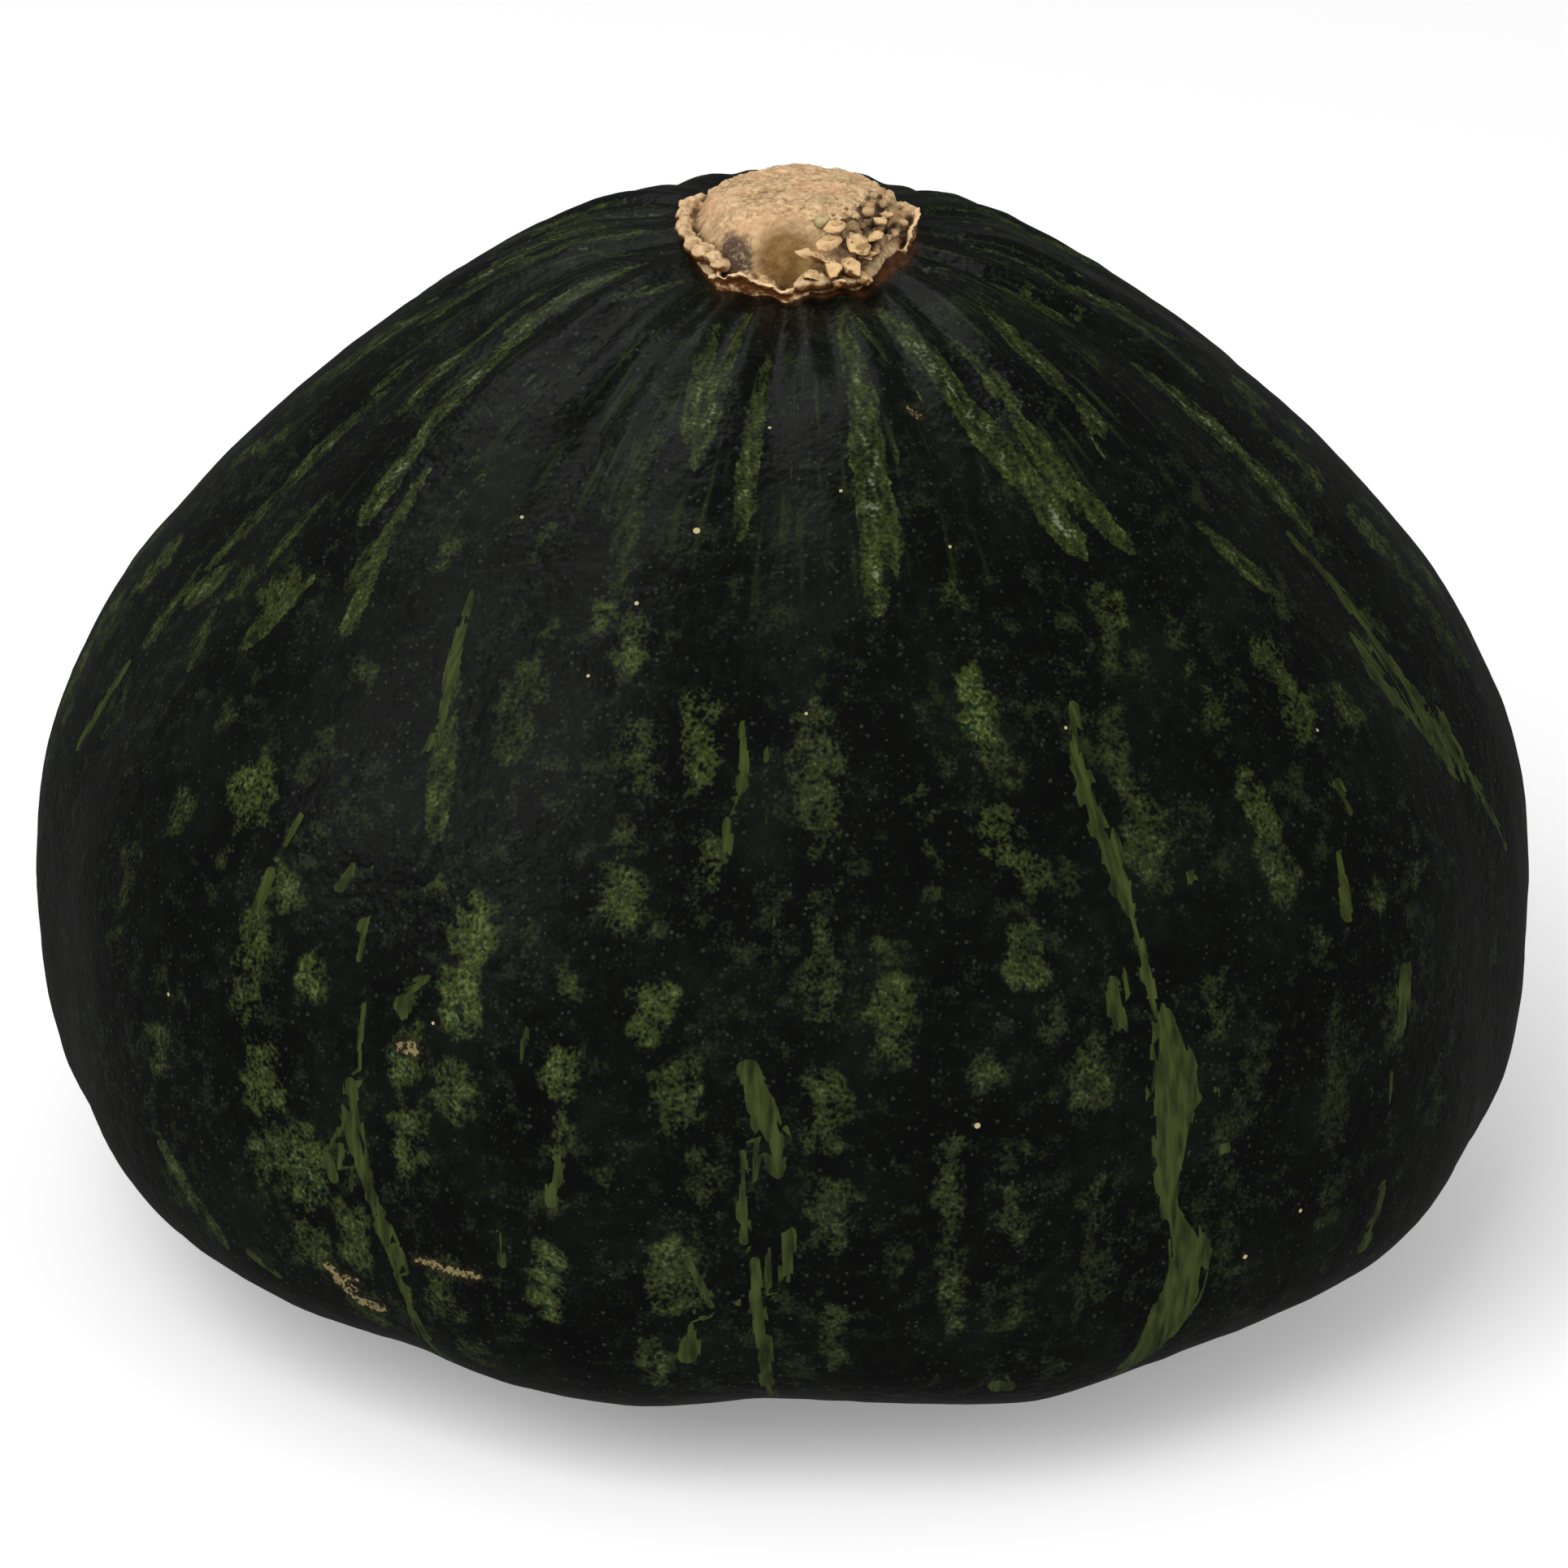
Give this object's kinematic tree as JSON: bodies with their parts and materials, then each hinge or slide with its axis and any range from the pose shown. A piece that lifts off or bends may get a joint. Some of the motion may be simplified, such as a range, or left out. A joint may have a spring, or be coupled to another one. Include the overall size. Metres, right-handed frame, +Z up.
{
  "type": "kabocha squash",
  "caption": "Whole dark green kabocha squash: a squat ribbed fruit with mottled rind and a dry corky stem button, standing on its blossom end.",
  "frame": {"origin": "on the surface the squash stands on, at the middle of the fruit's footprint box", "axes": "+Z up from the blossom end to the stem, -Y towards the front of the fruit, +X to the right seen from the front"},
  "size_m": [0.1816, 0.1763, 0.1327],
  "materials": {
    "rind": "waxy near-black green rind with paler green mottled stripes and blotches, soft satin sheen",
    "cork": "dry, matt, granular tan cork with brown hollows"
  },
  "bodies": {
    "root": {"squash_fruit": "rind", "corky_stem": "cork"}
  },
  "joints": []
}
